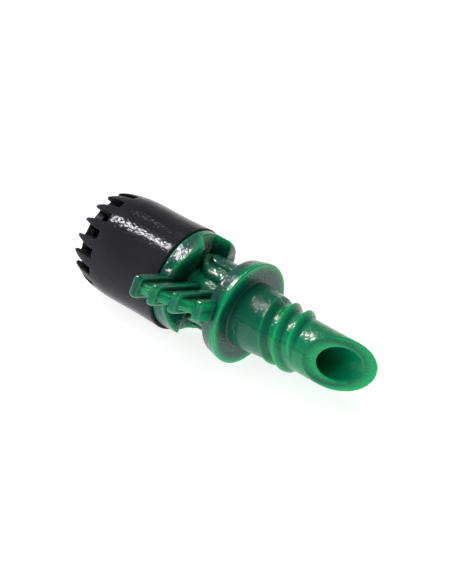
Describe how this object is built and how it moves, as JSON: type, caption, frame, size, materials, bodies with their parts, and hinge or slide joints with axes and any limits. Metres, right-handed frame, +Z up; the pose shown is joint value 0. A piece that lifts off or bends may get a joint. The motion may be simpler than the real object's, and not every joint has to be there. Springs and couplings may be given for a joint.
{
  "type": "drip emitter",
  "caption": "On-line drip emitter: a slotted screw cap on a moulding with ribbed grip wings, a conical flange and a coarsely threaded barb with an obliquely cut tip.",
  "frame": {"origin": "middle of the bottom of the bounding box of the emitter as it lies on a table, on its cap, flange and one grip wing", "axes": "+X along the water way towards the barb's tip, +Z up, the raised grip wing on the -Y side"},
  "size_m": [0.0272, 0.0154, 0.0089],
  "materials": {
    "body_moulding": "satin gloss, slightly translucent green",
    "cap_moulding": "satin charcoal",
    "seal_rubber": "matt black",
    "silicone": "matt, cream",
    "core_moulding": "satin black"
  },
  "bodies": {
    "moulding": {"barbed_body": "body_moulding", "flow_diaphragm": "silicone"},
    "seal": {"cap_seal": "seal_rubber"},
    "cap": {"outlet_cap": "cap_moulding", "labyrinth_core": "core_moulding"}
  },
  "joints": [
    {"name": "cap_travel", "type": "slide", "parent": "moulding", "child": "seal", "axis": [-1, 0, 0], "range_m": [0, 0.00199]},
    {"name": "cap_turn", "type": "hinge", "parent": "seal", "child": "cap", "pos_m": [-0.00473, 0, 0.00447], "axis": [-1, 0, 0], "range_deg": [0, 720]}
  ],
  "couplings": [
    {"joint": "cap_turn", "follows": "cap_travel", "rad_per_m": 6283.2}
  ]
}
